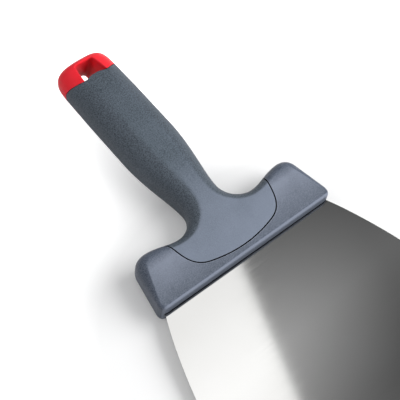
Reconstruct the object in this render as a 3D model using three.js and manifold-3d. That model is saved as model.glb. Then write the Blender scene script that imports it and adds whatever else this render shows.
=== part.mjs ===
// Chocolate scraper: a wide flexible steel blade, a crossbar that holds it, a stiff core,
// a soft grip with an anchor-shaped foot over the core, and a red loop for hanging it up.
// Units are millimetres. X runs across the blade, the handle points to +Y, +Z is up.

import * as THREE from 'three';
import { mergeVertices } from 'three/addons/utils/BufferGeometryUtils.js';
import Module from 'manifold-3d';

const wasm = await Module();
wasm.setup();

const plan = (x, y) => new THREE.Vector2(x, y);
const space = (x, y, z) => new THREE.Vector3(x, y, z);

// Driving sizes of the whole tool, measured from the crossbar's front
const overallLength = 237;
const handleLength = 131.5;
const bladeReach = overallLength - handleLength;
const fitGap = 0.3;
const seamGap = 0.6;

// Crossbar that holds the blade
const holderWidth = 102.4;
const holderBackWidth = 93.6;
const holderDepth = 27.9;
const holderFrontThickness = 12.2;
const holderBackThickness = 18.2;
const frontCorner = 4.4;
const backCorner = 6.8;

// Neck and the valley between neck and crossbar
const neckWidth = 20.4;
const neckSetback = 8.1;
const neckY = holderDepth + neckSetback;
const valleyX = 22.3;
const valleyDip = 3.3;
const valleyY = holderDepth - valleyDip;

// Grip and its rounded end
const gripWidth = 30.1;
const gripThickness = 24.4;
const gripWall = 2.8;
const swellLength = 42;
const gripStart = neckY + swellLength;
const thickestLength = 22;
const thickestEnd = gripStart + thickestLength;
const tailThickness = 19.6;
const tailLength = 14;
const tailStart = handleLength - tailLength;

// How far the outline's bends hold their direction, as a share of each bend's span
const shoulderHold = 0.39;
const valleyOuterHold = 0.31;
const valleyInnerHold = 0.52;
const neckFrontHold = 0.54;
const neckBackHold = 0.23;
const gripHold = 0.43;
const tailHold = 0.97;
const endHold = 0.9;
const flatTailHold = 0.67;
const flatEndHold = 0.7;

// Edge rounding, given as width in plan and height
const frontEdge = plan(1.8, 2.5);
const sideEdge = plan(1.6, 2.5);
const backEdge = plan(0.74 * backCorner, 6.5);
const neckEdge = plan(0.37 * neckWidth, 8);
const gripEdge = plan(0.4 * gripWidth, 0.45 * gripThickness);
const tailEdge = plan(6, 9);
const innerEdge = plan(0.8, 0.8);
const mostRound = 0.92;

// Seam between the grip's foot and the crossbar
const seamFront = 3.7;
const seamBowRadius = 64;
const seamBowHalf = 18.2;
const seamSideX = 28.3;
const seamSideY = 18.6;
const seamSideSlope = 0.24;
const seamCornerHold = 6.3;

// Blade, with two tabs locked in the crossbar and a tongue locked in the core
const bladeThickness = 1.2;
const bladeInset = 2.3;
const bladeRootWidth = holderWidth - 2 * bladeInset;
const bladeEdgeWidth = 152;
const bladeCornerRadius = 4;
const rootFlare = 0.49;
const rootFlareHold = 0.2 * bladeReach;
const edgeFlare = 0.1;
const edgeFlareHold = 0.42 * bladeReach;
const grindLength = 6;
const grindEdgeThickness = 0.5;
const rootDepth = 2.5;
const rootTaper = 3;
const tabWidth = 13;
const tabWall = 1.2;
const tabCentre = seamSideX + tabWall + tabWidth / 2;
const tabEnd = 17;
const tabHole = 6;
const tabHoleY = 10;
const tongueWall = 2.6;
const tongueWidth = neckWidth - 2 * (gripWall + fitGap + tongueWall);
const tonguePastNeck = 14;
const tongueEnd = neckY + tonguePastNeck;
const tongueHole = 4;
const tongueHoleInset = 7;
const tongueHoleY = tongueEnd - tongueHoleInset;

// Hanging cap, with the grip's end arched between its arms
const capLength = 12;
const capSeamY = handleLength - capLength;
const capSeamBow = 3.8;
const capSeamRadius = gripThickness / 2 + capSeamBow;
const archHalf = 6;
const archRise = 1.5;
const archSetback = 4.2;

// Hook hole: its widths at the top, the lean of its walls, its rounded rim and the scoop underneath
const loopWall = 4.2;
const hookStart = capSeamY - archSetback - fitGap;
const hookWidthNear = 12.9;
const hookWidthFar = 10.4;
const hookCornerTop = 1.6;
const hookCornerLow = 3.6;
const hookDraft = 0.1;
const hookSideDraft = 0.05;
const hookRim = 1.4;
const hookSideRim = 0.25;
const scoopDepth = 3;
const scoopSlope = 0.35;

// Prongs that hold the cap, and the bores for them in the core
const prongWidth = 3.2;
const prongThickness = 5;
const prongLength = 15;
const prongRoot = 4.6;
const prongX = hookWidthNear / 2 + fitGap + prongWidth / 2;
const boreStart = 20;
const boreEnd = tongueEnd + boreStart;
const boreTaper = 0.78;

// Fineness of the curved surfaces, and a length that is larger than the tool
const roundSteps = 6;
const bladeSteps = 26;
const cornerSteps = 6;
const postSides = 24;
const seamSides = 24;
const archSteps = 12;
const hookCornerSteps = 4;
const hookRimSteps = 5;
const reach = overallLength;

// Solids

function solid(geometry) {
  geometry.deleteAttribute('normal');
  geometry.deleteAttribute('uv');
  const merged = mergeVertices(geometry, 1e-5);
  const mesh = new wasm.Mesh({
    numProp: 3,
    vertProperties: new Float32Array(merged.attributes.position.array),
    triVerts: new Uint32Array(merged.index.array),
  });
  mesh.merge();
  return new wasm.Manifold(mesh);
}

function indexedSolid(positions, index) {
  const geometry = new THREE.BufferGeometry();
  geometry.setAttribute('position', new THREE.Float32BufferAttribute(positions, 3));
  geometry.setIndex(index);
  return solid(geometry);
}

// A named piece, moved so that the middle of the whole tool is the origin
function piece(name, body, material) {
  const mesh = body.getMesh();
  const geometry = new THREE.BufferGeometry();
  geometry.setAttribute('position', new THREE.BufferAttribute(new Float32Array(mesh.vertProperties), 3));
  geometry.setIndex(new THREE.BufferAttribute(new Uint32Array(mesh.triVerts), 1));
  geometry.translate(0, (bladeReach - handleLength) / 2, 0);
  geometry.computeVertexNormals();
  const node = new THREE.Mesh(geometry, material);
  node.name = name;
  return node;
}

// A flat outline in plan, made solid from one height to another
function slab(points, bottom, top) {
  const options = { depth: top - bottom, bevelEnabled: false };
  const geometry = new THREE.ExtrudeGeometry(new THREE.Shape(points), options);
  return solid(geometry.translate(0, 0, bottom));
}

// An outline in side view, (y, z), made solid right across the tool
function crossSlab(shape) {
  const options = { depth: 2 * reach, bevelEnabled: false, curveSegments: seamSides };
  const geometry = new THREE.ExtrudeGeometry(shape, options).translate(0, 0, -reach);
  const sideways = new THREE.Matrix4().makeBasis(
    space(0, 1, 0),
    space(0, 0, 1),
    space(1, 0, 0),
  );
  return solid(geometry.applyMatrix4(sideways));
}

// A body through a row of sections, each a ring of points that bulges nowhere inwards
function closedBand(rings) {
  const size = rings[0].length;
  const positions = rings.flat().flatMap(({ x, y, z }) => [x, y, z]);
  const last = (rings.length - 1) * size;
  const index = [];
  for (let a = 0; a < last; a += size) {
    for (let k = 0; k < size; k += 1) {
      const next = (k + 1) % size;
      index.push(a + k, a + next, a + size + next, a + k, a + size + next, a + size + k);
    }
  }
  for (let k = 1; k < size - 1; k += 1) {
    index.push(0, k + 1, k);
    index.push(last, last + k, last + k + 1);
  }
  return indexedSolid(positions, index);
}

function post(x, y, diameter) {
  const geometry = new THREE.CylinderGeometry(diameter / 2, diameter / 2, reach, postSides);
  return solid(geometry.rotateX(Math.PI / 2).translate(x, y, 0));
}

// Outline of crossbar and handle

// A bend that leaves a along one vector and arrives at b along another
function bend(a, leave, b, arrive) {
  return new THREE.CubicBezierCurve(a, a.clone().add(leave), b.clone().sub(arrive), b);
}

// Half the thickness at a distance y along the tool: a wedge up to the neck, a swell for the
// hand, then a fall towards the hanging end
const wedgeSlope = (holderBackThickness - holderFrontThickness) / (2 * holderDepth);
const wedgeHalf = (y) => holderFrontThickness / 2 + wedgeSlope * y;
const swellThird = (gripStart - neckY) / 3;
const swell = bend(
  plan(neckY, wedgeHalf(neckY)),
  plan(swellThird, wedgeSlope * swellThird),
  plan(gripStart, gripThickness / 2),
  plan(swellThird, 0),
);

function halfThickness(y) {
  if (y <= neckY) return wedgeHalf(y);
  if (y <= gripStart) return swell.getPoint((y - neckY) / (gripStart - neckY)).y;
  const fall = THREE.MathUtils.smoothstep(y, thickestEnd, handleLength);
  return THREE.MathUtils.lerp(gripThickness, tailThickness, fall) / 2;
}

function valleyCurves() {
  const shoulder = plan(holderBackWidth / 2 - backCorner, holderDepth);
  const valley = plan(valleyX, valleyY);
  const neck = plan(neckWidth / 2, neckY);
  const outer = shoulder.x - valley.x;
  const inner = valley.x - neck.x;
  const rise = neck.y - valley.y;
  return [
    {
      curve: bend(shoulder, plan(-shoulderHold * outer, 0), valley, plan(-valleyOuterHold * outer, 0)),
      steps: 7,
      edges: [backEdge, backEdge],
    },
    {
      curve: bend(valley, plan(-valleyInnerHold * inner, 0), neck, plan(0, neckFrontHold * rise)),
      steps: 9,
      edges: [backEdge, neckEdge],
    },
  ];
}

function gripCurves() {
  const neck = plan(neckWidth / 2, neckY);
  const grip = plan(gripWidth / 2, gripStart);
  const tail = plan(gripWidth / 2, tailStart);
  const end = plan(0, handleLength);
  const flatTail = plan(tail.x - gripEdge.x, tail.y);
  const flatEnd = plan(0, end.y - tailEdge.x);
  const swellRun = grip.y - neck.y;
  const tailRun = end.y - tail.y;
  const flatRun = flatEnd.y - flatTail.y;
  return [
    {
      curve: bend(neck, plan(0, neckBackHold * swellRun), grip, plan(0, gripHold * swellRun)),
      steps: 12,
      edges: [neckEdge, gripEdge],
    },
    { curve: new THREE.LineCurve(grip, tail), steps: 7, edges: [gripEdge, gripEdge] },
    {
      curve: bend(tail, plan(0, tailHold * tailRun), end, plan(-endHold * tail.x, 0)),
      flat: bend(flatTail, plan(0, flatTailHold * flatRun), flatEnd, plan(-flatEndHold * flatTail.x, 0)),
      steps: 11,
      edges: [gripEdge, tailEdge],
    },
  ];
}

function crossbarCurves() {
  const front = plan(holderWidth / 2, 0);
  const back = plan(holderBackWidth / 2, holderDepth);
  const along = back.clone().sub(front).normalize();
  const cornerIn = plan(front.x - frontCorner, 0);
  const cornerOut = front.clone().addScaledVector(along, frontCorner);
  const backIn = back.clone().addScaledVector(along, -backCorner);
  const backOut = plan(back.x - backCorner, back.y);
  const round = (a, corner, b) => new THREE.QuadraticBezierCurve(a, corner, b);
  const fromSide = plan(-along.y, along.x).multiplyScalar(backEdge.x);
  const fromBack = plan(0, -backEdge.x);
  const flatBack = round(
    backIn.clone().add(fromSide),
    back.clone().add(fromSide).add(fromBack),
    backOut.clone().add(fromBack),
  );
  return [
    { curve: round(cornerIn, front, cornerOut), steps: 5, edges: [frontEdge, sideEdge] },
    { curve: new THREE.LineCurve(cornerOut, backIn), steps: 1, edges: [sideEdge, backEdge] },
    { curve: round(backIn, back, backOut), flat: flatBack, steps: 6, edges: [backEdge, backEdge] },
  ];
}

// Points along the curves with the direction into the body and the edge rounding there.
// Where a curve has a flat outline of its own, the rounding runs from the curve to it.
function stationsOn(curves) {
  const stations = [];
  curves.forEach(({ curve, flat, steps, edges }, index) => {
    const last = index === curves.length - 1 ? steps : steps - 1;
    for (let i = 0; i <= last; i += 1) {
      const t = i / steps;
      const point = curve.getPoint(t);
      const tangent = curve.getTangent(t);
      const edge = edges[0].clone().lerp(edges[1], t);
      const inward = plan(-tangent.y, tangent.x);
      if (flat) {
        inward.copy(flat.getPoint(t)).sub(point);
        edge.x = inward.length();
        inward.normalize();
      }
      stations.push({ point, inward, edge });
    }
  });
  return stations;
}

function outerStations() {
  return stationsOn([...crossbarCurves(), ...valleyCurves(), ...gripCurves()]);
}

// The stations of the handle moved inwards by a wall, closed off by a plain front
function innerStations(wall) {
  const moved = stationsOn([...valleyCurves(), ...gripCurves()]).map(({ point, inward, edge }) => ({
    point: point.clone().addScaledVector(inward, wall),
    inward,
    edge: plan(Math.max(edge.x - wall, innerEdge.x), Math.max(edge.y - wall, innerEdge.y)),
  }));
  const corner = plan(moved[0].point.x, 0);
  return [{ point: corner, inward: plan(-1, 1), edge: innerEdge }, ...moved];
}

// A body with the given right-hand outline, mirrored, and its top and bottom edges rounded.
// The outline starts at the front corner and ends on the middle line.
function roundedBody(stations, wall) {
  const left = stations.slice(0, -1).reverse().map(({ point, inward, edge }) => ({
    point: plan(-point.x, point.y),
    inward: plan(-inward.x, inward.y),
    edge,
  }));
  const loop = [...stations, ...left];
  const positions = [];
  const pushLevel = (step, side) => {
    const turn = (step / roundSteps) * Math.PI / 2;
    loop.forEach(({ point, inward, edge }) => {
      const flat = point.clone().addScaledVector(inward, edge.x);
      const half = halfThickness(flat.y) - wall;
      const drop = Math.min(edge.y, mostRound * half);
      const at = point.clone().addScaledVector(inward, edge.x * (1 - Math.cos(turn)));
      positions.push(at.x, at.y, side * (half - drop * (1 - Math.sin(turn))));
    });
  };
  for (let step = roundSteps; step >= 0; step -= 1) pushLevel(step, -1);
  for (let step = 0; step <= roundSteps; step += 1) pushLevel(step, 1);
  const size = loop.length;
  const top = (2 * roundSteps + 1) * size;
  const index = [];
  for (let level = 0; level < top; level += size) {
    for (let i = 0; i < size; i += 1) {
      const a = level + i;
      const b = level + (i + 1) % size;
      index.push(a, b, b + size, a, b + size, a + size);
    }
  }
  flatFaces(stations, loop).forEach(([a, b, c]) => {
    index.push(top + a, top + b, top + c);
    index.push(a, c, b);
  });
  return indexedSolid(positions, index);
}

// Faces inside the rounded edges: one plate up to the neck, then strips across the handle
function flatFaces(stations, loop) {
  const end = stations.length - 1;
  const neck = stations.findIndex(({ point }) => point.y > neckY - fitGap / 2);
  const inset = loop.map(({ point, inward, edge }) => point.clone().addScaledVector(inward, edge.x));
  const opposite = (i) => loop.length - 1 - i;
  const plateIds = [];
  for (let i = 0; i <= neck; i += 1) plateIds.push(i);
  for (let i = neck; i >= 0; i -= 1) plateIds.push(opposite(i));
  const plate = THREE.ShapeUtils.triangulateShape(plateIds.map((i) => inset[i]), []);
  const faces = plate.map((triangle) => triangle.map((i) => plateIds[i]));
  for (let i = neck; i < end - 1; i += 1) {
    faces.push([i, i + 1, opposite(i + 1)]);
    faces.push([i, opposite(i + 1), opposite(i)]);
  }
  faces.push([end - 1, end, opposite(end - 1)]);
  return faces;
}

// Regions that divide crossbar, grip and cap

// Everything behind the foot's seam, moved inwards by the given amount
function behindFootSeam(inset) {
  const bowSlope = seamBowHalf / seamBowRadius;
  const bowStart = plan(0, seamFront);
  const bowEnd = plan(seamBowHalf, seamFront + seamBowHalf * bowSlope / 2);
  const side = plan(seamSideX, seamSideY);
  const bow = new THREE.QuadraticBezierCurve(bowStart, plan(seamBowHalf / 2, seamFront), bowEnd);
  const leaveBow = plan(1, bowSlope).multiplyScalar(seamCornerHold);
  const reachSide = plan(seamSideSlope, 1).multiplyScalar(seamCornerHold);
  const sideEnd = side.clone().addScaledVector(plan(seamSideSlope, 1), holderDepth / 2);
  const edges = [frontEdge, frontEdge];
  const right = stationsOn([
    { curve: bow, steps: 6, edges },
    { curve: bend(bowEnd, leaveBow, side, reachSide), steps: 10, edges },
    { curve: new THREE.LineCurve(side, sideEnd), steps: 1, edges },
  ]).map(({ point, inward }) => point.clone().addScaledVector(inward, inset));
  right.push(plan(right.at(-1).x, reach));
  const left = right.slice(1).reverse().map((point) => plan(-point.x, point.y));
  return slab([...right, ...left], -reach, reach);
}

// Everything on the blade side of the bowed seam under the cap, with the arch between the arms
function belowCapSeam(shift) {
  const bowCentre = capSeamY + shift - capSeamRadius;
  const shape = new THREE.Shape();
  shape.moveTo(-reach, -capSeamRadius);
  shape.lineTo(bowCentre, -capSeamRadius);
  shape.absarc(bowCentre, 0, capSeamRadius, -Math.PI / 2, Math.PI / 2, false);
  shape.lineTo(-reach, capSeamRadius);
  return crossSlab(shape).add(gripArch(shift));
}

function gripArch(shift) {
  const radius = (archHalf ** 2 + archRise ** 2) / (2 * archRise);
  const centre = capSeamY - archSetback + archRise - radius;
  const halfTurn = Math.asin(archHalf / radius);
  const points = [];
  for (let i = 0; i <= archSteps; i += 1) {
    const turn = halfTurn * (1 - 2 * i / archSteps);
    points.push(plan((radius + shift) * Math.sin(turn), centre + (radius + shift) * Math.cos(turn)));
  }
  points.push(plan(points.at(-1).x, capSeamY - capSeamRadius));
  points.push(plan(points[0].x, capSeamY - capSeamRadius));
  return slab(points, -gripThickness, gripThickness);
}

// Materials

function steel() {
  return new THREE.MeshStandardMaterial({ color: 0xc4c7ca, roughness: 0.28, metalness: 1 });
}

function greyPlastic() {
  return new THREE.MeshStandardMaterial({ color: 0x6a7383, roughness: 0.5, metalness: 0 });
}

function corePlastic() {
  return new THREE.MeshStandardMaterial({ color: 0x30353d, roughness: 0.6, metalness: 0 });
}

function softGrip() {
  return new THREE.MeshStandardMaterial({ color: 0x4d5661, roughness: 0.7, metalness: 0 });
}

function redPlastic() {
  return new THREE.MeshStandardMaterial({ color: 0xd22630, roughness: 0.35, metalness: 0 });
}

// Blade

// Cross sections from the root to the ground edge: half the width and the place along the tool
function bladeSections() {
  const root = plan(bladeRootWidth / 2, 0);
  const edge = plan(bladeEdgeWidth / 2, -bladeReach);
  const side = bend(
    root,
    plan(rootFlare, -1).multiplyScalar(rootFlareHold),
    edge,
    plan(edgeFlare, -1).multiplyScalar(edgeFlareHold),
  );
  const grindStart = grindLength - bladeReach;
  const sections = [plan(root.x - rootTaper, rootDepth)];
  for (let i = 0; i < bladeSteps; i += 1) {
    const at = side.getPoint(i / bladeSteps);
    if (at.y > grindStart) sections.push(at);
  }
  sections.push(plan(edge.x - edgeFlare * grindLength, grindStart));
  for (let i = 0; i <= cornerSteps; i += 1) {
    const turn = (i / cornerSteps) * Math.PI / 2;
    const x = edge.x - bladeCornerRadius * (1 - Math.cos(turn));
    sections.push(plan(x, edge.y + bladeCornerRadius * (1 - Math.sin(turn))));
  }
  return sections;
}

function bladeFan() {
  const rings = bladeSections().map(({ x, y }) => {
    const ground = THREE.MathUtils.clamp((y + bladeReach) / grindLength, 0, 1);
    const z = THREE.MathUtils.lerp(grindEdgeThickness, bladeThickness, ground) / 2;
    return [space(-x, y, -z), space(x, y, -z), space(x, y, z), space(-x, y, z)];
  });
  return closedBand(rings);
}

// A flat strip from the blade's root back to the given end, or the room for it
function rootStrip(centre, width, end, gap) {
  const half = width / 2 + gap;
  const thick = bladeThickness / 2 + gap;
  const start = rootDepth / 2;
  const points = [
    plan(centre - half, start),
    plan(centre + half, start),
    plan(centre + half, end + gap),
    plan(centre - half, end + gap),
  ];
  return slab(points, -thick, thick);
}

function blade() {
  const body = bladeFan()
    .add(rootStrip(tabCentre, tabWidth, tabEnd, 0))
    .add(rootStrip(-tabCentre, tabWidth, tabEnd, 0))
    .add(rootStrip(0, tongueWidth, tongueEnd, 0))
    .subtract(post(tabCentre, tabHoleY, tabHole))
    .subtract(post(-tabCentre, tabHoleY, tabHole))
    .subtract(post(0, tongueHoleY, tongueHole));
  return piece('blade', body, steel());
}

// Crossbar

function tabRoom(centre) {
  return rootStrip(centre, tabWidth, tabEnd, fitGap)
    .subtract(post(centre, tabHoleY, tabHole - 2 * fitGap));
}

// Room for the blade's root, with a post left standing in the hole of each tab
function bladeRoom() {
  const thick = bladeThickness / 2 + fitGap;
  const half = bladeRootWidth / 2 + fitGap;
  const back = rootDepth + fitGap;
  const groove = slab([
    plan(-half, -rootDepth),
    plan(half, -rootDepth),
    plan(half, 0),
    plan(half - rootTaper, back),
    plan(rootTaper - half, back),
    plan(-half, 0),
  ], -thick, thick);
  return groove
    .add(tabRoom(tabCentre))
    .add(tabRoom(-tabCentre))
    .add(rootStrip(0, tongueWidth, tongueEnd, fitGap));
}

function bladeHolder(outside) {
  const body = outside
    .subtract(behindFootSeam(-seamGap / 2))
    .subtract(bladeRoom());
  return piece('blade_holder', body, greyPlastic());
}

// Core

// A bore that takes a prong of the cap and narrows towards the neck
function prongBore(side) {
  const mouth = prongWidth / 2 + fitGap;
  const height = prongThickness / 2 + fitGap;
  const start = capSeamY - prongLength - fitGap;
  const middle = side * prongX;
  return slab([
    plan(middle - mouth, start),
    plan(boreTaper * (middle - mouth), boreEnd),
    plan(boreTaper * (middle + mouth), boreEnd),
    plan(middle + mouth, start),
    plan(middle + mouth, reach),
    plan(middle - mouth, reach),
  ], -height, height);
}

function handleCore() {
  const wall = gripWall + fitGap;
  const tongueRoom = rootStrip(0, tongueWidth, tongueEnd, fitGap)
    .subtract(post(0, tongueHoleY, tongueHole - 2 * fitGap));
  const body = roundedBody(innerStations(wall), wall)
    .intersect(behindFootSeam(seamGap / 2 + wall))
    .intersect(belowCapSeam(0))
    .subtract(prongBore(1))
    .subtract(prongBore(-1))
    .subtract(tongueRoom);
  return piece('handle_core', body, corePlastic());
}

// Grip

function grip(outside) {
  const hollow = roundedBody(innerStations(gripWall), gripWall)
    .intersect(behindFootSeam(seamGap / 2 + gripWall));
  const body = outside
    .intersect(behindFootSeam(seamGap / 2))
    .intersect(belowCapSeam(0))
    .subtract(hollow)
    .subtract(rootStrip(0, tongueWidth, tongueEnd, fitGap));
  return piece('grip', body, softGrip());
}

// Hanging cap

// The hook hole's outline at a height z, grown by a rim at the end and a little at the sides
function hookRing(z, rim) {
  const depth = tailThickness / 2 - z;
  const lean = hookSideDraft * depth;
  const scoop = scoopSlope * Math.max(0, -scoopDepth - z);
  const end = handleLength - loopWall - hookDraft * z + rim + scoop;
  const near = hookWidthNear / 2 - lean + hookSideRim * rim;
  const far = hookWidthFar / 2 - lean + hookSideRim * rim;
  const low = THREE.MathUtils.clamp(depth / tailThickness, 0, 1);
  const corner = THREE.MathUtils.lerp(hookCornerTop, hookCornerLow, low);
  const round = new THREE.QuadraticBezierCurve(
    plan(far, end - corner),
    plan(far, end),
    plan(far - corner, end),
  );
  const right = [plan(near, hookStart), ...round.getPoints(hookCornerSteps)];
  const left = right.map((point) => plan(-point.x, point.y)).reverse();
  return [...right, ...left].map((point) => space(point.x, point.y, z));
}

// The way through for a hook: its rim is rounded over on top, and a scoop opens it underneath
function hookHole() {
  const top = tailThickness / 2;
  const rings = [-top, -scoopDepth, top - hookRim].map((z) => hookRing(z, 0));
  for (let i = 1; i <= hookRimSteps; i += 1) {
    const turn = (i / hookRimSteps) * Math.PI / 2;
    rings.push(hookRing(top - hookRim + hookRim * Math.sin(turn), hookRim * (1 - Math.cos(turn))));
  }
  rings.push(hookRing(gripThickness, hookRim));
  rings.unshift(hookRing(-gripThickness, 0));
  return closedBand(rings);
}

function prong(side) {
  const middle = side * prongX;
  const half = prongWidth / 2;
  const start = capSeamY - prongLength;
  const end = capSeamY + prongRoot;
  const points = [
    plan(middle - half, start),
    plan(middle + half, start),
    plan(middle + half, end),
    plan(middle - half, end),
  ];
  return slab(points, -prongThickness / 2, prongThickness / 2);
}

function hangingCap(outside) {
  const body = outside
    .subtract(belowCapSeam(fitGap))
    .subtract(hookHole())
    .add(prong(1))
    .add(prong(-1));
  return piece('hanging_cap', body, redPlastic());
}

// Assembly

function chocolateScraper() {
  const outside = roundedBody(outerStations(), 0);
  const scraper = new THREE.Group();
  scraper.name = 'chocolate_scraper';
  scraper.add(blade(), bladeHolder(outside), handleCore(), grip(outside), hangingCap(outside));
  return scraper;
}

export default chocolateScraper();
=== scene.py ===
import math

import bpy
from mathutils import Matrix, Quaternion, Vector


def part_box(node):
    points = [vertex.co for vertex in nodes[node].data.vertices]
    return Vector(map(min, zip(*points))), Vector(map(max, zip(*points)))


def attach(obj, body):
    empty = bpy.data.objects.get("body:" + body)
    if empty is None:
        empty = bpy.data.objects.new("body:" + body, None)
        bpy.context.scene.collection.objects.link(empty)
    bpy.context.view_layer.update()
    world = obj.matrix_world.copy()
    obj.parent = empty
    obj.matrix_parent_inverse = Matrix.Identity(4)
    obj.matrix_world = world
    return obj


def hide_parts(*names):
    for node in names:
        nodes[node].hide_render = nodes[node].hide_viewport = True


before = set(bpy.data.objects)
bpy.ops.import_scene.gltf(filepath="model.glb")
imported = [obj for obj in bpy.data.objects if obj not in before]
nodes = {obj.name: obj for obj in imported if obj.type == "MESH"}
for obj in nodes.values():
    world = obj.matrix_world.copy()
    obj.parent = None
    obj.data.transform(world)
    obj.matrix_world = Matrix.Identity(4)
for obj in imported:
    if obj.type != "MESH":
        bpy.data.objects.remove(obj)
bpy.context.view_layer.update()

MM = 0.001


def plan(x, y):
    return Vector((x, y))


# The crossbar's front in the frame, in metres. The sizes below are in millimetres from there, as
# in the CAD model
FRONT_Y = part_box("blade_holder")[0].y
HANDLE_LENGTH = (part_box("hanging_cap")[1].y - FRONT_Y) / MM
FIT_GAP = 0.3
SEAM_GAP = 0.6

# Crossbar that holds the blade
HOLDER_WIDTH = 102.4
HOLDER_BACK_WIDTH = 93.6
HOLDER_DEPTH = 27.9
HOLDER_FRONT_THICKNESS = 12.2
HOLDER_BACK_THICKNESS = 18.2
FRONT_CORNER = 4.4
BACK_CORNER = 6.8

# Neck and the valley between neck and crossbar
NECK_WIDTH = 20.4
NECK_SETBACK = 8.1
NECK_Y = HOLDER_DEPTH + NECK_SETBACK
VALLEY_X = 22.3
VALLEY_DIP = 3.3
VALLEY = plan(VALLEY_X, HOLDER_DEPTH - VALLEY_DIP)

# Grip and its rounded end
GRIP_WIDTH = 30.1
GRIP_THICKNESS = 2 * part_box("grip")[1].z / MM
GRIP_WALL = 2.8
SWELL_LENGTH = 42
GRIP_START = NECK_Y + SWELL_LENGTH
THICKEST_LENGTH = 22
THICKEST_END = GRIP_START + THICKEST_LENGTH
TAIL_THICKNESS = 19.6
TAIL_LENGTH = 14
TAIL_START = HANDLE_LENGTH - TAIL_LENGTH

# How far the outline's bends hold their direction, as a share of each bend's span
SHOULDER_HOLD = 0.39
VALLEY_OUTER_HOLD = 0.31
VALLEY_INNER_HOLD = 0.52
NECK_FRONT_HOLD = 0.54
NECK_BACK_HOLD = 0.23
GRIP_HOLD = 0.43
TAIL_HOLD = 0.97
END_HOLD = 0.9
FLAT_TAIL_HOLD = 0.67
FLAT_END_HOLD = 0.7

# Edge rounding, given as width in plan and height, some as shares of the body's own sizes
BACK_EDGE_SHARE = 0.74
NECK_EDGE_SHARE = 0.37
GRIP_EDGE_SHARE = 0.4
GRIP_EDGE_HEIGHT_SHARE = 0.45
FRONT_EDGE = plan(1.8, 2.5)
SIDE_EDGE = plan(1.6, 2.5)
BACK_EDGE = plan(BACK_EDGE_SHARE * BACK_CORNER, 6.5)
NECK_EDGE = plan(NECK_EDGE_SHARE * NECK_WIDTH, 8)
GRIP_EDGE = plan(GRIP_EDGE_SHARE * GRIP_WIDTH, GRIP_EDGE_HEIGHT_SHARE * GRIP_THICKNESS)
TAIL_EDGE = plan(6, 9)
INNER_EDGE = plan(0.8, 0.8)
MOST_ROUND = 0.92

# Seam between the grip's foot and the crossbar
SEAM_FRONT = 3.7
SEAM_BOW_RADIUS = 64
SEAM_BOW_HALF = 18.2
SEAM_SIDE = plan(28.3, 18.6)
SEAM_SIDE_SLOPE = 0.24
SEAM_CORNER_HOLD = 6.3

# Groove for the blade's root, with pockets for its tabs and a way through for its tongue
BLADE_THICKNESS = 1.2
BLADE_INSET = 2.3
GROOVE_HALF_THICKNESS = BLADE_THICKNESS / 2 + FIT_GAP
ROOT_HALF_WIDTH = HOLDER_WIDTH / 2 - BLADE_INSET + FIT_GAP
ROOT_DEPTH = 2.5
ROOT_TAPER = 3
TAB_WIDTH = 13
TAB_WALL = 1.2
TAB_LENGTH = 17
TAB_CENTRE = SEAM_SIDE.x + TAB_WALL + TAB_WIDTH / 2
TAB_HALF = TAB_WIDTH / 2 + FIT_GAP
TAB_END = TAB_LENGTH + FIT_GAP
TONGUE_WALL = 2.6
TONGUE_PAST_NECK = 14
TONGUE_HALF = NECK_WIDTH / 2 - GRIP_WALL - TONGUE_WALL
TONGUE_END = NECK_Y + TONGUE_PAST_NECK + FIT_GAP

# Hanging cap, with the grip's end arched between its arms
CAP_LENGTH = 12
CAP_SEAM_Y = HANDLE_LENGTH - CAP_LENGTH
CAP_SEAM_BOW = 3.8
CAP_SEAM_RADIUS = GRIP_THICKNESS / 2 + CAP_SEAM_BOW
ARCH_HALF = 6
ARCH_RISE = 1.5
ARCH_SETBACK = 4.2

# Hook hole: its widths at the top, the lean of its walls, its rounded rim and the scoop underneath
LOOP_WALL = 4.2
HOOK_START = CAP_SEAM_Y - ARCH_SETBACK - FIT_GAP
HOOK_WIDTH_NEAR = 12.9
HOOK_WIDTH_FAR = 10.4
HOOK_CORNER_TOP = 1.6
HOOK_CORNER_LOW = 3.6
HOOK_DRAFT = 0.1
HOOK_SIDE_DRAFT = 0.05
HOOK_RIM = 1.4
HOOK_SIDE_RIM = 0.25
SCOOP_DEPTH = 3
SCOOP_SLOPE = 0.35

# Prongs that hold the cap
PRONG_WIDTH = 3.2
PRONG_THICKNESS = 5
PRONG_LENGTH = 15
PRONG_ROOT = 4.6
PRONG_X = HOOK_WIDTH_NEAR / 2 + FIT_GAP + PRONG_WIDTH / 2

# Fineness of the curved surfaces, a length larger than the tool, and one that counts as nothing
FINE = 4
ROUND_STEPS = 20
ARC_STEPS = 48
HOOK_STEPS = 8
SHARP_ANGLE = math.radians(35)
REACH = 2 * HANDLE_LENGTH
NEARBY = 0.3

# Places between which colours change along the tool, in millimetres behind the crossbar's front
# They paint light and shade: a front highlight, a shaded front wall, sheen, shade further back
FRONT_WALL_SHADE_FADE = (0.4, 0.1)
FRONT_HIGHLIGHT_FADE = (1.5, 0.9)
TOPS_SHEEN_FADE = (3, 18)
BACK_SHADE_FADE = (18.5, 23.5)
FOOT_SHEEN_FADE = (14, 58)
TAIL_SHADE_FADE = (75, 110)

# How level a surface is where it turns from the shaded sides to the lit tops, both painted
CROSSBAR_LEVEL = (0.965, 0.9935)
GRIP_LEVEL = (0.955, 0.9938)

# Ranges over which noise, worn highlit edges and painted crevice shade come in, and its reach
NOISE_RANGE = (0.35, 0.65)
WORN_HIGHLIT_RANGE = (0.80, 0.98)
OPEN_RANGE = (0.50, 0.96)
CREVICE_SHADE_REACH = 1.6 * MM
CREVICE_SHADE_SAMPLES = 8
BEVEL_SAMPLES = 6

# Colours used more than once, as sRGB from 0 to 255
# Grey of the shade painted into seams and corners, and beside the blade's root
CREVICE_SHADE_GREY = (12, 14, 18)
WHITE = (255, 255, 255)

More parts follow.
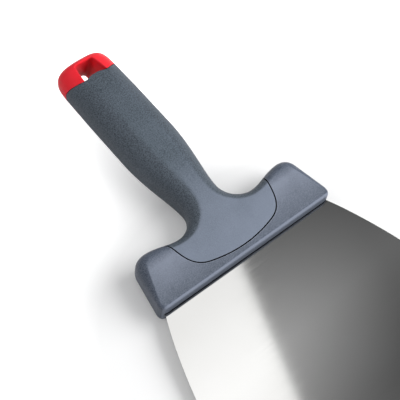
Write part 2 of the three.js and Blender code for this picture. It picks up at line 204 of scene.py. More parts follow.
# Camera fitted to the photograph
CAMERA_PLACE = Vector((-0.2076, -0.1596, 0.4728))
CAMERA_TARGET = Vector((0.0008, 0.0231, 0.0))
CAMERA_ROLL = math.radians(10.63)
CAMERA_LENS = 105.4
SENSOR = 36.0

# Softbox overhead: the place of its right edge, which the blade mirrors, and its size
SOFTBOX_EDGE = Vector((0.304, 0.14, 0.80))
SOFTBOX_TURN = math.radians(-19.4)
SOFTBOX_WIDTH = 0.40
SOFTBOX_LENGTH = 0.60
SOFTBOX_AHEAD = 0.20
SOFTBOX_POWER = 0.68

# Key lamp from the front on the right, which throws the soft shadow to the left
KEY_PLACE = Vector((0.92, -0.60, 0.95))
KEY_SIZE = 1.3
KEY_POWER = 30.7

# Fill lamp from behind on the left, which keeps the shadow side open
FILL_PLACE = Vector((-0.75, 0.45, 0.85))
FILL_SIZE = 0.8
FILL_POWER = 3.5

# Room: brightness overhead, what it is multiplied by low down, behind, in front, far in front and
# to the right, and the least that shiny surfaces mirror low down
ROOM_TINT = (252, 253, 255)
ROOM_LIGHT = 0.43
ROOM_LOW = 0.25
ROOM_BEHIND = 0.42
ROOM_FRONT = 0.45
ROOM_FAR_FRONT = 2.0
ROOM_RIGHT = 0.4
ROOM_RIGHT_WAY = (1.0, -0.336, -0.314)
ROOM_SHINE = 0.65

# Directions between which each of these changes, as parts of a unit vector
HEIGHT_FADE = (0.0, 0.8)
BEHIND_FADE = (0.20, 0.27)
FRONT_FADE = (0.12, 0.20)
FAR_FRONT_FADE = (-0.25, 0.08)
RIGHT_FADE = (0.03, 0.13)
SHINE_FADE = (0.60, 0.78)

# Floor: the oval round blade and crossbar where it keeps its shadows, and the light it gives to the
# camera inside and outside of that oval to look white. Shiny surfaces see the light inside
FLOOR_SIDE = 6.0
SHADOW_MIDDLE_Y = -0.03
SHADOW_HALF_WIDTH = 0.13
SHADOW_HALF_LENGTH = 0.10
SHADOW_FADE = (0.65, 1.25)
FLOOR_LIFT = 0.16
FLOOR_LIFT_OUTSIDE = 0.9


def srgb(red, green, blue):
    """Linear colour for an sRGB colour given from 0 to 255."""
    def linear(value):
        share = value / 255
        return share / 12.92 if share <= 0.04045 else ((share + 0.055) / 1.055) ** 2.4
    return (linear(red), linear(green), linear(blue), 1.0)


# Curves, as lists of control points

def curve_point(points, t):
    while len(points) > 1:
        points = [a.lerp(b, t) for a, b in zip(points, points[1:])]
    return points[0]


def curve_direction(points, t):
    return curve_point([b - a for a, b in zip(points, points[1:])], t).normalized()


def bend(a, leave, b, arrive):
    """A curve that leaves a along one vector and arrives at b along another."""
    return [a, a + leave, b - arrive, b]


def mirrored(points):
    return [plan(-point.x, point.y) for point in points]


def smoothstep(value, start, end):
    share = min(max((value - start) / (end - start), 0.0), 1.0)
    return share * share * (3 - 2 * share)


# Outline and thickness of crossbar and handle

WEDGE_SLOPE = (HOLDER_BACK_THICKNESS - HOLDER_FRONT_THICKNESS) / (2 * HOLDER_DEPTH)


def wedge_half(y):
    return HOLDER_FRONT_THICKNESS / 2 + WEDGE_SLOPE * y


def half_thickness(y):
    """A wedge up to the neck, a swell for the hand, then a fall towards the hanging end."""
    if y <= NECK_Y:
        return wedge_half(y)
    if y <= GRIP_START:
        third = SWELL_LENGTH / 3
        neck = plan(NECK_Y, wedge_half(NECK_Y))
        grip = plan(GRIP_START, GRIP_THICKNESS / 2)
        swell = bend(neck, plan(third, WEDGE_SLOPE * third), grip, plan(third, 0))
        return curve_point(swell, (y - NECK_Y) / SWELL_LENGTH).y
    fall = smoothstep(y, THICKEST_END, HANDLE_LENGTH)
    return (GRIP_THICKNESS + (TAIL_THICKNESS - GRIP_THICKNESS) * fall) / 2


# Each run along the outline: its curve, the flat face's own curve if it has one, its steps and
# the edge rounding at its start and end

def crossbar_runs():
    front = plan(HOLDER_WIDTH / 2, 0)
    back = plan(HOLDER_BACK_WIDTH / 2, HOLDER_DEPTH)
    along = (back - front).normalized()
    corner_in = front - plan(FRONT_CORNER, 0)
    corner_out = front + along * FRONT_CORNER
    back_in = back - along * BACK_CORNER
    back_out = back - plan(BACK_CORNER, 0)
    from_side = plan(-along.y, along.x) * BACK_EDGE.x
    from_back = plan(0, -BACK_EDGE.x)
    flat = [back_in + from_side, back + from_side + from_back, back_out + from_back]
    return [
        ([corner_in, front, corner_out], None, 5, FRONT_EDGE, SIDE_EDGE),
        ([corner_out, back_in], None, 1, SIDE_EDGE, BACK_EDGE),
        ([back_in, back, back_out], flat, 6, BACK_EDGE, BACK_EDGE),
    ]


def valley_runs():
    shoulder = plan(HOLDER_BACK_WIDTH / 2 - BACK_CORNER, HOLDER_DEPTH)
    neck = plan(NECK_WIDTH / 2, NECK_Y)
    outer = plan(VALLEY.x - shoulder.x, 0)
    inner = plan(neck.x - VALLEY.x, 0)
    rise = plan(0, neck.y - VALLEY.y)
    down = bend(shoulder, SHOULDER_HOLD * outer, VALLEY, VALLEY_OUTER_HOLD * outer)
    up = bend(VALLEY, VALLEY_INNER_HOLD * inner, neck, NECK_FRONT_HOLD * rise)
    return [(down, None, 7, BACK_EDGE, BACK_EDGE), (up, None, 9, BACK_EDGE, NECK_EDGE)]


def grip_runs():
    neck = plan(NECK_WIDTH / 2, NECK_Y)
    grip = plan(GRIP_WIDTH / 2, GRIP_START)
    tail = plan(GRIP_WIDTH / 2, TAIL_START)
    end = plan(0, HANDLE_LENGTH)
    flat_tail = tail - plan(GRIP_EDGE.x, 0)
    flat_end = end - plan(0, TAIL_EDGE.x)
    swell_run = plan(0, grip.y - neck.y)
    tail_run = plan(0, end.y - tail.y)
    flat_run = plan(0, flat_end.y - flat_tail.y)
    swell = bend(neck, NECK_BACK_HOLD * swell_run, grip, GRIP_HOLD * swell_run)
    close = bend(tail, TAIL_HOLD * tail_run, end, plan(-END_HOLD * tail.x, 0))
    flat = bend(flat_tail, FLAT_TAIL_HOLD * flat_run, flat_end, plan(-FLAT_END_HOLD * flat_tail.x, 0))
    return [
        (swell, None, 12, NECK_EDGE, GRIP_EDGE),
        ([grip, tail], None, 7, GRIP_EDGE, GRIP_EDGE),
        (close, flat, 11, GRIP_EDGE, TAIL_EDGE),
    ]


def stations_on(runs):
    """Points along the runs with the direction into the body and the edge rounding there."""
    stations = []
    for number, (curve, flat, steps, first, last) in enumerate(runs):
        count = steps * FINE
        for i in range(count + (number == len(runs) - 1)):
            t = i / count
            point = curve_point(curve, t)
            edge = first.lerp(last, t)
            direction = curve_direction(curve, t)
            inward = plan(-direction.y, direction.x)
            if flat:
                inward = curve_point(flat, t) - point
                edge.x = inward.length
                inward.normalize()
            stations.append((point, inward, edge))
    return stations


def inner_stations(wall):
    """The handle's stations moved inwards by a wall, closed off by a plain front."""
    moved = []
    for point, inward, edge in stations_on(valley_runs() + grip_runs()):
        inner = plan(max(edge.x - wall, INNER_EDGE.x), max(edge.y - wall, INNER_EDGE.y))
        moved.append((point + inward * wall, inward, inner))
    return [(plan(moved[0][0].x, 0), plan(-1, 1), INNER_EDGE)] + moved


# Solids

def solid(name, points, faces):
    mesh = bpy.data.meshes.new(name)
    mesh.from_pydata(points, [], faces)
    made = bpy.data.objects.new(name, mesh)
    bpy.context.scene.collection.objects.link(made)
    return made


def loft(name, rings, caps):
    """A closed body through rings of equally many points. The caps index the last ring."""
    size = len(rings[0])
    top = (len(rings) - 1) * size
    points = [point for ring in rings for point in ring]
    faces = []
    for start in range(0, top, size):
        for i in range(size):
            a = start + i
            b = start + (i + 1) % size
            faces.append((a, b, b + size, a + size))
    for cap in caps:
        faces.append([top + i for i in cap])
        faces.append(list(reversed(cap)))
    return solid(name, points, faces)


def prism(name, outline, low, high):
    rings = [[(point.x, point.y, z) for point in outline] for z in (low, high)]
    return loft(name, rings, [list(range(len(outline)))])


def cross_prism(name, outline):
    """An outline in side view, (y, z), made solid right across the tool."""
    rings = [[(x, point.x, point.y) for point in outline] for x in (-REACH, REACH)]
    return loft(name, rings, [list(range(len(outline)))])


def block(name, x, half_width, start, end, half_height):
    corners = [(-half_width, start), (half_width, start), (half_width, end), (-half_width, end)]
    outline = [plan(x + across, along) for across, along in corners]
    return prism(name, outline, -half_height, half_height)


def combine(body, tool, operation):
    """Cuts or joins a body with a tool, which is used up."""
    change = body.modifiers.new("change", "BOOLEAN")
    change.object = tool
    change.operation = operation
    change.solver = "MANIFOLD"
    ready = body.evaluated_get(bpy.context.evaluated_depsgraph_get())
    mesh = bpy.data.meshes.new_from_object(ready)
    body.modifiers.clear()
    body.data = mesh
    bpy.data.objects.remove(tool)
    return body


def rounded_body(name, stations, wall):
    """A body with the given right-hand outline, mirrored, and its top and bottom edges rounded."""
    loop = list(stations)
    for point, inward, edge in reversed(stations[:-1]):
        loop.append((plan(-point.x, point.y), plan(-inward.x, inward.y), edge))
    rings = []
    levels = [(step, -1) for step in range(ROUND_STEPS, -1, -1)]
    levels += [(step, 1) for step in range(ROUND_STEPS + 1)]
    for step, side in levels:
        turn = step / ROUND_STEPS * math.pi / 2
        ring = []
        for point, inward, edge in loop:
            half = half_thickness((point + inward * edge.x).y) - wall
            drop = min(edge.y, MOST_ROUND * half)
            at = point + inward * edge.x * (1 - math.cos(turn))
            ring.append((at.x, at.y, side * (half - drop * (1 - math.sin(turn)))))
        rings.append(ring)
    return loft(name, rings, flat_faces(stations))


def flat_faces(stations):
    """Faces inside the rounded edges: one plate up to the neck, then strips across the handle."""
    end = len(stations) - 1
    last = 2 * end
    neck = next(i for i, (point, inward, edge) in enumerate(stations) if point.y > NECK_Y - NEARBY)
    faces = [list(range(neck + 1)) + [last - i for i in range(neck, -1, -1)]]
    faces += [[i, i + 1, last - i - 1, last - i] for i in range(neck, end - 1)]
    faces.append([end - 1, end, end + 1])
    return faces


def whole_outside(name):
    return rounded_body(name, stations_on(crossbar_runs() + valley_runs() + grip_runs()), 0)


def behind_foot_seam(inset):
    """Everything behind the foot's seam, moved inwards by the given amount."""
    slope = SEAM_BOW_HALF / SEAM_BOW_RADIUS
    bow_end = plan(SEAM_BOW_HALF, SEAM_FRONT + SEAM_BOW_HALF * slope / 2)
    bow = [plan(0, SEAM_FRONT), plan(SEAM_BOW_HALF / 2, SEAM_FRONT), bow_end]
    side_way = plan(SEAM_SIDE_SLOPE, 1)
    corner = bend(bow_end, plan(1, slope) * SEAM_CORNER_HOLD, SEAM_SIDE, side_way * SEAM_CORNER_HOLD)
    side = [SEAM_SIDE, SEAM_SIDE + side_way * HOLDER_DEPTH / 2]
    # The seam's walls are upright, so the rounding in these runs isn't used
    runs = [(bow, None, 6), (corner, None, 10), (side, None, 1)]
    stations = stations_on([run + (FRONT_EDGE, FRONT_EDGE) for run in runs])
    right = [point + inward * inset for point, inward, edge in stations]
    right.append(plan(right[-1].x, REACH))
    return prism("behind_foot_seam", right + mirrored(reversed(right[1:])), -REACH, REACH)


def below_cap_seam(shift):
    """Everything on the blade side of the bowed seam under the cap, with the arch between the arms."""
    centre = plan(CAP_SEAM_Y + shift - CAP_SEAM_RADIUS, 0)
    outline = [plan(-REACH, -CAP_SEAM_RADIUS)]
    for i in range(ARC_STEPS + 1):
        turn = math.pi * (i / ARC_STEPS - 0.5)
        outline.append(centre + plan(math.cos(turn), math.sin(turn)) * CAP_SEAM_RADIUS)
    outline.append(plan(-REACH, CAP_SEAM_RADIUS))
    return combine(cross_prism("below_cap_seam", outline), grip_arch(shift), "UNION")


def grip_arch(shift):
    """The grip's arched end between the cap's arms."""
    radius = (ARCH_HALF ** 2 + ARCH_RISE ** 2) / (2 * ARCH_RISE)
    centre = plan(0, CAP_SEAM_Y - ARCH_SETBACK + ARCH_RISE - radius)
    half_turn = math.asin(ARCH_HALF / radius)
    outline = []
    for i in range(ARC_STEPS + 1):
        turn = half_turn * (1 - 2 * i / ARC_STEPS)
        outline.append(centre + plan(math.sin(turn), math.cos(turn)) * (radius + shift))
    base = CAP_SEAM_Y - CAP_SEAM_RADIUS
    outline += [plan(outline[-1].x, base), plan(outline[0].x, base)]
    return prism("grip_arch", outline, -GRIP_THICKNESS, GRIP_THICKNESS)


# Pieces that stand for the CAD solids with finer curves

def finish_piece(piece, node, material):
    for vertex in piece.data.vertices:
        vertex.co = Vector((vertex.co.x * MM, vertex.co.y * MM + FRONT_Y, vertex.co.z * MM))
    piece.data.shade_smooth()
    piece.data.set_sharp_from_angle(angle=SHARP_ANGLE)
    weighted = piece.modifiers.new("weighted", "WEIGHTED_NORMAL")
    weighted.keep_sharp = True
    piece.data.materials.clear()
    piece.data.materials.append(material)
    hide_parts(node)
    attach(piece, "root")


def blade_groove():
    """The space that is cut from the crossbar for the blade."""
    back = ROOT_DEPTH + FIT_GAP
    right = [
        plan(ROOT_HALF_WIDTH, -ROOT_DEPTH),
        plan(ROOT_HALF_WIDTH, 0),
        plan(ROOT_HALF_WIDTH - ROOT_TAPER, back),
        plan(TAB_CENTRE + TAB_HALF, back),
        plan(TAB_CENTRE + TAB_HALF, TAB_END),
        plan(TAB_CENTRE - TAB_HALF, TAB_END),
        plan(TAB_CENTRE - TAB_HALF, back),
        plan(TONGUE_HALF, back),
        plan(TONGUE_HALF, HOLDER_DEPTH),
    ]
    outline = right + mirrored(reversed(right))
    return prism("blade_groove", outline, -GROOVE_HALF_THICKNESS, GROOVE_HALF_THICKNESS)


def make_crossbar():
    body = whole_outside("crossbar")
    combine(body, behind_foot_seam(-SEAM_GAP / 2), "DIFFERENCE")
    combine(body, blade_groove(), "DIFFERENCE")
    finish_piece(body, "blade_holder", crossbar_plastic())


def make_grip():
    body = whole_outside("soft_handle")
    combine(body, behind_foot_seam(SEAM_GAP / 2), "INTERSECT")
    combine(body, below_cap_seam(0), "INTERSECT")
    hollow = rounded_body("hollow", inner_stations(GRIP_WALL), GRIP_WALL)
    combine(hollow, behind_foot_seam(SEAM_GAP / 2 + GRIP_WALL), "INTERSECT")
    combine(body, hollow, "DIFFERENCE")
    slot = block("tongue_room", 0, TONGUE_HALF, 0, TONGUE_END, GROOVE_HALF_THICKNESS)
    combine(body, slot, "DIFFERENCE")
    finish_piece(body, "grip", soft_grip())


def hook_ring(z, rim):
    """The hook hole's outline at a height z, grown by a rim at the end and a little at the sides."""
    depth = TAIL_THICKNESS / 2 - z
    grow = HOOK_SIDE_RIM * rim - HOOK_SIDE_DRAFT * depth
    scoop = SCOOP_SLOPE * max(0, -SCOOP_DEPTH - z)
    end = HANDLE_LENGTH - LOOP_WALL - HOOK_DRAFT * z + rim + scoop
    near = HOOK_WIDTH_NEAR / 2 + grow
    far = HOOK_WIDTH_FAR / 2 + grow
    low = min(max(depth / TAIL_THICKNESS, 0), 1)
    corner = HOOK_CORNER_TOP + (HOOK_CORNER_LOW - HOOK_CORNER_TOP) * low
    turn = [plan(far, end - corner), plan(far, end), plan(far - corner, end)]
    right = [plan(near, HOOK_START)]
    right += [curve_point(turn, i / HOOK_STEPS) for i in range(HOOK_STEPS + 1)]
    return [(point.x, point.y, z) for point in right + mirrored(reversed(right))]


def hook_hole():
    """The way through for a hook: its rim is rounded over on top, a scoop opens it underneath."""
    top = TAIL_THICKNESS / 2
    rim_start = top - HOOK_RIM
    rings = [hook_ring(z, 0) for z in (-GRIP_THICKNESS, -top, -SCOOP_DEPTH, rim_start)]
    for i in range(1, HOOK_STEPS + 1):
        turn = i / HOOK_STEPS * math.pi / 2
        height = rim_start + HOOK_RIM * math.sin(turn)
        rings.append(hook_ring(height, HOOK_RIM * (1 - math.cos(turn))))
    rings.append(hook_ring(GRIP_THICKNESS, HOOK_RIM))
    return loft("hook_hole", rings, [list(range(len(rings[0])))])


def make_cap():
    body = whole_outside("hanging_loop")
    combine(body, below_cap_seam(FIT_GAP), "DIFFERENCE")
    combine(body, hook_hole(), "DIFFERENCE")
    start = CAP_SEAM_Y - PRONG_LENGTH
    end = CAP_SEAM_Y + PRONG_ROOT
    for x in (-PRONG_X, PRONG_X):
        prong = block("prong", x, PRONG_WIDTH / 2, start, end, PRONG_THICKNESS / 2)
        combine(body, prong, "UNION")
    finish_piece(body, "hanging_cap", red_plastic())


# Node helpers

class Tree:
    """The node tree of a material or a world, with short ways to add nodes."""

    def __init__(self, owner):
        owner.use_nodes = True
        self.owner = owner
        self.nodes = owner.node_tree.nodes
        self.links = owner.node_tree.links

    def add(self, kind, **values):
        node = self.nodes.new(kind)
        for name, value in values.items():
            setattr(node, name, value)
        return node

    def join(self, output, target):
        self.links.new(output, target)

    def between(self, value, low, high, start, end):
        """A number that goes from low to high while the value goes from start to end."""
        ranged = self.add("ShaderNodeMapRange")
        ranged.inputs["From Min"].default_value = start
        ranged.inputs["From Max"].default_value = end
        ranged.inputs["To Min"].default_value = low
        ranged.inputs["To Max"].default_value = high
        self.join(value, ranged.inputs["Value"])
        return ranged.outputs["Result"]

    def calculate(self, operation, *values):
        node = self.add("ShaderNodeMath", operation=operation)
        for value, socket in zip(values, node.inputs):
            self.join(value, socket)
        return node.outputs["Value"]

    def product(self, first, *others):
        for other in others:
            first = self.calculate("MULTIPLY", first, other)
        return first

    def parts(self, vector):
        """The X, Y and Z of a vector."""
        node = self.add("ShaderNodeSeparateXYZ")
        self.join(vector, node.inputs["Vector"])
        return node.outputs


class Surface(Tree):
    """A new material, whose nodes start from places on the object."""

    def __init__(self, name):
        super().__init__(bpy.data.materials.new(name))
        self.shader = self.nodes["Principled BSDF"]
        self.place = self.add("ShaderNodeTexCoord").outputs["Object"]

    def set(self, **values):
        for name, value in values.items():
            self.shader.inputs[name.replace("_", " ")].default_value = value

    def feed(self, name, output):
        self.join(output, self.shader.inputs[name])

    def normal(self):
        return self.add("ShaderNodeNewGeometry").outputs["Normal"]

    def stretched(self, scale):
        mapping = self.add("ShaderNodeMapping")
        mapping.inputs["Scale"].default_value = scale
        self.join(self.place, mapping.inputs["Vector"])
        return mapping.outputs["Vector"]

    def noise(self, size, detail=3.0, rough=0.5, vector=None):
        """Noise whose features are about the given size in metres."""
        texture = self.add("ShaderNodeTexNoise")
        texture.inputs["Scale"].default_value = 1 / size
        texture.inputs["Detail"].default_value = detail
        texture.inputs["Roughness"].default_value = rough
        self.join(vector or self.place, texture.inputs["Vector"])
        return texture.outputs["Fac"]

    def varied(self, noise, low, high):
        """A number that wanders from low to high with the noise."""
        return self.between(noise, low, high, *NOISE_RANGE)

    def blend(self, factor, first, second):
        """A colour from first to second. Either is an sRGB colour or another node's output."""
        mix = self.add("ShaderNodeMix", data_type="RGBA")
        self.join(factor, mix.inputs["Factor"])
        # The node's colours are its sockets 6 and 7, and their mix is its output 2
        for socket, colour in ((mix.inputs[6], first), (mix.inputs[7], second)):
            if isinstance(colour, tuple):
                socket.default_value = srgb(*colour)
            else:
                self.join(colour, socket)
        return mix.outputs[2]

    def mottled(self, noise, first, second):
        """A colour that wanders from first to second with the noise."""
        return self.blend(self.varied(noise, 0.0, 1.0), first, second)

    def bump(self, height, depth, strength, normal=None):
        node = self.add("ShaderNodeBump")
        node.inputs["Distance"].default_value = depth
        node.inputs["Strength"].default_value = strength
        self.join(height, node.inputs["Height"])
        if normal:
            self.join(normal, node.inputs["Normal"])
        return node.outputs["Normal"]

    def soft_edges(self, radius):
        node = self.add("ShaderNodeBevel", samples=BEVEL_SAMPLES)
        node.inputs["Radius"].default_value = radius
        return node.outputs["Normal"]

    def along(self, start, end):
        """0 up to start, in millimetres behind the crossbar's front, and 1 from end on."""
        y = self.parts(self.place)["Y"]
        return self.between(y, 0.0, 1.0, FRONT_Y + start * MM, FRONT_Y + end * MM)

    def flats(self, start, end):
        """1 where the surface lies level, 0 on rounded edges and sides."""
        # The mask that paints the sides in shade and the tops lit
        level = self.calculate("ABSOLUTE", self.parts(self.normal())["Z"])
        return self.between(level, 0.0, 1.0, start, end)

    def worn_highlit_edges(self, radius):
        """1 on sharp edges, where the normal and its mean nearby differ, and 0 elsewhere."""
        # Edges are partly worn and partly given a painted highlight
        agree = self.add("ShaderNodeVectorMath", operation="DOT_PRODUCT")
        self.join(self.normal(), agree.inputs[0])
        self.join(self.soft_edges(radius), agree.inputs[1])
        return self.between(agree.outputs["Value"], 1.0, 0.0, *WORN_HIGHLIT_RANGE)

    def open_air(self):
        """0 deep in seams and corners, 1 where nothing is near: the mask for painted shade."""
        node = self.add("ShaderNodeAmbientOcclusion", samples=CREVICE_SHADE_SAMPLES)
        node.inputs["Distance"].default_value = CREVICE_SHADE_REACH
        return self.between(node.outputs["AO"], 0.0, 1.0, *OPEN_RANGE)


# Materials

def blade_steel():
    tree = Surface("blade_steel")
    tree.set(Metallic=1.0)
    lines = tree.noise(0.4 * MM, detail=2.0, rough=0.6, vector=tree.stretched((0.02, 1.0, 1.0)))
    clouds = tree.noise(40 * MM)
    steel_tone = tree.blend(clouds, (222, 221, 218), (229, 229, 228))
    # Painted shade: the steel turns dark where it meets the crossbar
    tree.feed("Base Color", tree.blend(tree.open_air(), (24, 24, 28), steel_tone))
    tree.feed("Roughness", tree.varied(lines, 0.06, 0.08))
    tree.feed("Normal", tree.bump(lines, depth=0.0002 * MM, strength=0.1))
    return tree.owner


def crossbar_plastic():
    tree = Surface("crossbar_plastic")
    tree.set(Specular_IOR_Level=0.25)
    clouds = tree.noise(14 * MM, detail=4.0)
    grain = tree.noise(0.5 * MM, detail=2.0)
    # Painted shade on the sides and back, and a painted sheen on the tops, dimmer towards the front
    sides = tree.mottled(clouds, (62, 70, 83), (69, 77, 91))
    dim_tops = tree.mottled(clouds, (76, 83, 94), (86, 93, 105))
    sheen_tops = tree.mottled(clouds, (107, 114, 127), (121, 128, 142))
    tops = tree.blend(tree.along(*TOPS_SHEEN_FADE), dim_tops, sheen_tops)
    back_shade = tree.blend(tree.along(*BACK_SHADE_FADE), tops, sides)
    body = tree.blend(tree.flats(*CROSSBAR_LEVEL), sides, back_shade)
    # Painted highlight along the front edge, and painted shade on the front wall below it
    front_highlight = tree.blend(tree.along(*FRONT_HIGHLIGHT_FADE), body, (122, 129, 144))
    front_wall_shade = tree.blend(tree.along(*FRONT_WALL_SHADE_FADE), front_highlight, (86, 93, 106))
    speckled = tree.blend(tree.varied(grain, 0.0, 0.3), front_wall_shade, (142, 149, 164))
    # Sharp edges partly worn, partly given a painted highlight
    worn_highlit = tree.blend(tree.worn_highlit_edges(0.5 * MM), speckled, (150, 157, 173))
    # Painted shade in seams, corners and along the blade's root
    tree.feed("Base Color", tree.blend(tree.open_air(), CREVICE_SHADE_GREY, worn_highlit))
    tree.feed("Roughness", tree.varied(clouds, 0.36, 0.44))
    soft = tree.soft_edges(0.15 * MM)
    tree.feed("Normal", tree.bump(grain, depth=0.05 * MM, strength=0.6, normal=soft))
    return tree.owner


def core_plastic():
    tree = Surface("core_plastic")
    clouds = tree.noise(8 * MM)
    tree.feed("Base Color", tree.blend(clouds, (46, 50, 57), (56, 61, 69)))
    tree.feed("Roughness", tree.varied(clouds, 0.5, 0.65))
    return tree.owner


def soft_grip():
    tree = Surface("soft_grip")
    tree.set(Specular_IOR_Level=0.25)
    clouds = tree.noise(18 * MM, detail=4.0)
    grain = tree.noise(0.55 * MM, rough=0.6)
    # Painted shade on the sides, a painted sheen on the foot, painted shade towards the hanging end
    sides = tree.mottled(clouds, (52, 59, 66), (59, 66, 74))
    dark = tree.mottled(clouds, (64, 73, 81), (72, 81, 90))
    foot_sheen = tree.mottled(clouds, (109, 117, 132), (119, 127, 143))
    deep = tree.mottled(clouds, (47, 55, 61), (53, 61, 68))
    foot = tree.blend(tree.along(*FOOT_SHEEN_FADE), foot_sheen, dark)
    tops = tree.blend(tree.along(*TAIL_SHADE_FADE), foot, deep)
    body = tree.blend(tree.flats(*GRIP_LEVEL), sides, tops)
    speckled = tree.blend(tree.varied(grain, 0.0, 0.45), body, (126, 136, 148))
    # Sharp edges partly worn, partly given a painted highlight
    worn_highlit = tree.blend(tree.worn_highlit_edges(0.3 * MM), speckled, (96, 104, 116))
    # Painted shade in seams and corners
    tree.feed("Base Color", tree.blend(tree.open_air(), CREVICE_SHADE_GREY, worn_highlit))
    tree.feed("Roughness", tree.varied(grain, 0.46, 0.60))
    soft = tree.soft_edges(0.15 * MM)
    tree.feed("Normal", tree.bump(grain, depth=0.10 * MM, strength=0.7, normal=soft))
    return tree.owner


def red_plastic():
    tree = Surface("red_plastic")
    tree.set(Specular_IOR_Level=0.12)
    clouds = tree.noise(9 * MM)
    grain = tree.noise(0.7 * MM, detail=2.0)
    body = tree.mottled(clouds, (236, 42, 53), (243, 47, 59))
    # Sharp edges partly worn, partly given a painted highlight
    tree.feed("Base Color", tree.blend(tree.worn_highlit_edges(0.4 * MM), body, (248, 76, 86)))
    tree.feed("Roughness", tree.varied(grain, 0.30, 0.38))
    soft = tree.soft_edges(0.5 * MM)
    tree.feed("Normal", tree.bump(grain, depth=0.01 * MM, strength=0.2, normal=soft))
    return tree.owner


def floor_white():
    tree = Surface("floor_white")
    tree.set(Roughness=0.9, Specular_IOR_Level=0.1, Emission_Color=srgb(*WHITE))
    clouds = tree.noise(300 * MM, detail=2.0)
    tree.feed("Base Color", tree.blend(clouds, (224, 224, 224), (227, 227, 227)))
    away = tree.add("ShaderNodeVectorMath", operation="LENGTH")
    tree.join(tree.stretched((1 / SHADOW_HALF_WIDTH, 1 / SHADOW_HALF_LENGTH, 0)), away.inputs[0])
    lift = tree.between(away.outputs["Value"], FLOOR_LIFT, FLOOR_LIFT_OUTSIDE, *SHADOW_FADE)
    ray = tree.add("ShaderNodeLightPath").outputs
    seen = tree.product(ray["Is Camera Ray"], lift)
    shine = tree.between(ray["Is Glossy Ray"], 0.0, FLOOR_LIFT, 0.0, 1.0)
    tree.feed("Emission Strength", tree.calculate("MAXIMUM", seen, shine))
    return tree.owner


# Floor, light and camera

def resting_slope(rest):
    """How steeply the floor falls from the blade's edge so that the tool rests on it."""
    steepest = 0
    for node in nodes.values():
        for vertex in node.data.vertices:
            run = vertex.co.y - rest.y
            if run > NEARBY * MM:
                steepest = max(steepest, (rest.z - vertex.co.z) / run)
    return steepest


def make_floor():
    half = FLOOR_SIDE / 2
    corners = [(-half, -half, 0), (half, -half, 0), (half, half, 0), (-half, half, 0)]
    floor = solid("floor", corners, [(0, 1, 2, 3)])
    floor.data.materials.append(floor_white())
    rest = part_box("blade")[0]
    slope = resting_slope(rest)
    floor.location = (0, SHADOW_MIDDLE_Y, rest.z - slope * (SHADOW_MIDDLE_Y - rest.y))
    floor.rotation_euler.x = -math.atan(slope)


def area_lamp(name, place, turn, width, length, power):
    data = bpy.data.lights.new(name, "AREA")
    data.shape = "RECTANGLE"
    data.size = width
    data.size_y = length
    data.energy = power
    lamp = bpy.data.objects.new(name, data)
    lamp.location = place
    lamp.rotation_mode = "QUATERNION"
    lamp.rotation_quaternion = turn
    bpy.context.scene.collection.objects.link(lamp)
    return lamp


def make_softbox():
    turn = Quaternion((0, 0, 1), SOFTBOX_TURN)
    to_middle = Vector((-SOFTBOX_WIDTH / 2, SOFTBOX_AHEAD - SOFTBOX_LENGTH / 2, 0))
    place = SOFTBOX_EDGE + turn @ to_middle
    area_lamp("softbox", place, turn, SOFTBOX_WIDTH, SOFTBOX_LENGTH, SOFTBOX_POWER)


def make_side_lamp(name, place, size, power):
    """A lamp that faces the tool and that shiny surfaces don't mirror."""
    lamp = area_lamp(name, place, (-place).to_track_quat("-Z", "Y"), size, size, power)
    lamp.visible_glossy = False


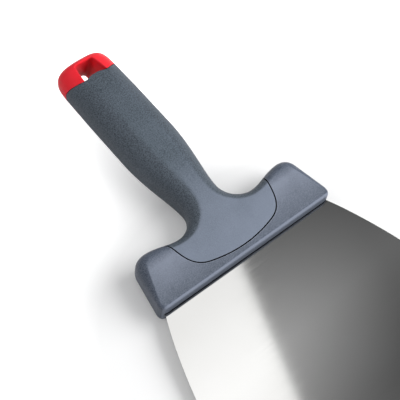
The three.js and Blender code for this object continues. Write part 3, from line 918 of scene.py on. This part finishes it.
def room_strength(tree, ray):
    """The room's brightness in each direction, which shapes what the blade mirrors."""
    way = tree.add("ShaderNodeTexCoord").outputs["Generated"]
    right = tree.add("ShaderNodeVectorMath", operation="DOT_PRODUCT")
    right.inputs[1].default_value = ROOM_RIGHT_WAY
    tree.join(way, right.inputs[0])
    parts = tree.parts(way)
    height = tree.between(parts["Z"], ROOM_LOW * ROOM_LIGHT, ROOM_LIGHT, *HEIGHT_FADE)
    behind = tree.between(parts["Y"], 1.0, ROOM_BEHIND, *BEHIND_FADE)
    front = tree.between(parts["Y"], ROOM_FRONT, 1.0, *FRONT_FADE)
    far_front = tree.between(parts["Y"], ROOM_FAR_FRONT, 1.0, *FAR_FRONT_FADE)
    side = tree.between(right.outputs["Value"], 1.0, ROOM_RIGHT, *RIGHT_FADE)
    shaped = tree.product(height, behind, front, far_front, side)
    low = tree.between(parts["Z"], ROOM_SHINE, 0.0, *SHINE_FADE)
    shine = tree.product(ray["Is Glossy Ray"], low)
    return tree.calculate("MAXIMUM", shaped, shine)


def make_world():
    """The room, which the camera itself sees as white."""
    tree = Tree(bpy.data.worlds.new("studio"))
    ray = tree.add("ShaderNodeLightPath").outputs
    room = tree.nodes["Background"]
    room.inputs["Color"].default_value = srgb(*ROOM_TINT)
    tree.join(room_strength(tree, ray), room.inputs["Strength"])
    white = tree.add("ShaderNodeBackground")
    white.inputs["Color"].default_value = srgb(*WHITE)
    mix = tree.add("ShaderNodeMixShader")
    tree.join(ray["Is Camera Ray"], mix.inputs["Fac"])
    tree.join(room.outputs["Background"], mix.inputs[1])
    tree.join(white.outputs["Background"], mix.inputs[2])
    tree.join(mix.outputs["Shader"], tree.nodes["World Output"].inputs["Surface"])
    bpy.context.scene.world = tree.owner


def make_camera():
    data = bpy.data.cameras.new("camera")
    data.sensor_width = SENSOR
    data.lens = CAMERA_LENS
    camera = bpy.data.objects.new("camera", data)
    camera.location = CAMERA_PLACE
    camera.rotation_mode = "QUATERNION"
    aim = (CAMERA_TARGET - CAMERA_PLACE).to_track_quat("-Z", "Y")
    camera.rotation_quaternion = aim @ Quaternion((0, 0, 1), CAMERA_ROLL)
    bpy.context.scene.collection.objects.link(camera)
    bpy.context.scene.camera = camera


make_crossbar()
make_grip()
make_cap()
nodes["blade"].material_slots[0].material = blade_steel()
nodes["handle_core"].material_slots[0].material = core_plastic()
make_floor()
make_softbox()
make_side_lamp("key", KEY_PLACE, KEY_SIZE, KEY_POWER)
make_side_lamp("fill", FILL_PLACE, FILL_SIZE, FILL_POWER)
make_world()
make_camera()
bpy.context.scene.view_settings.view_transform = "Standard"
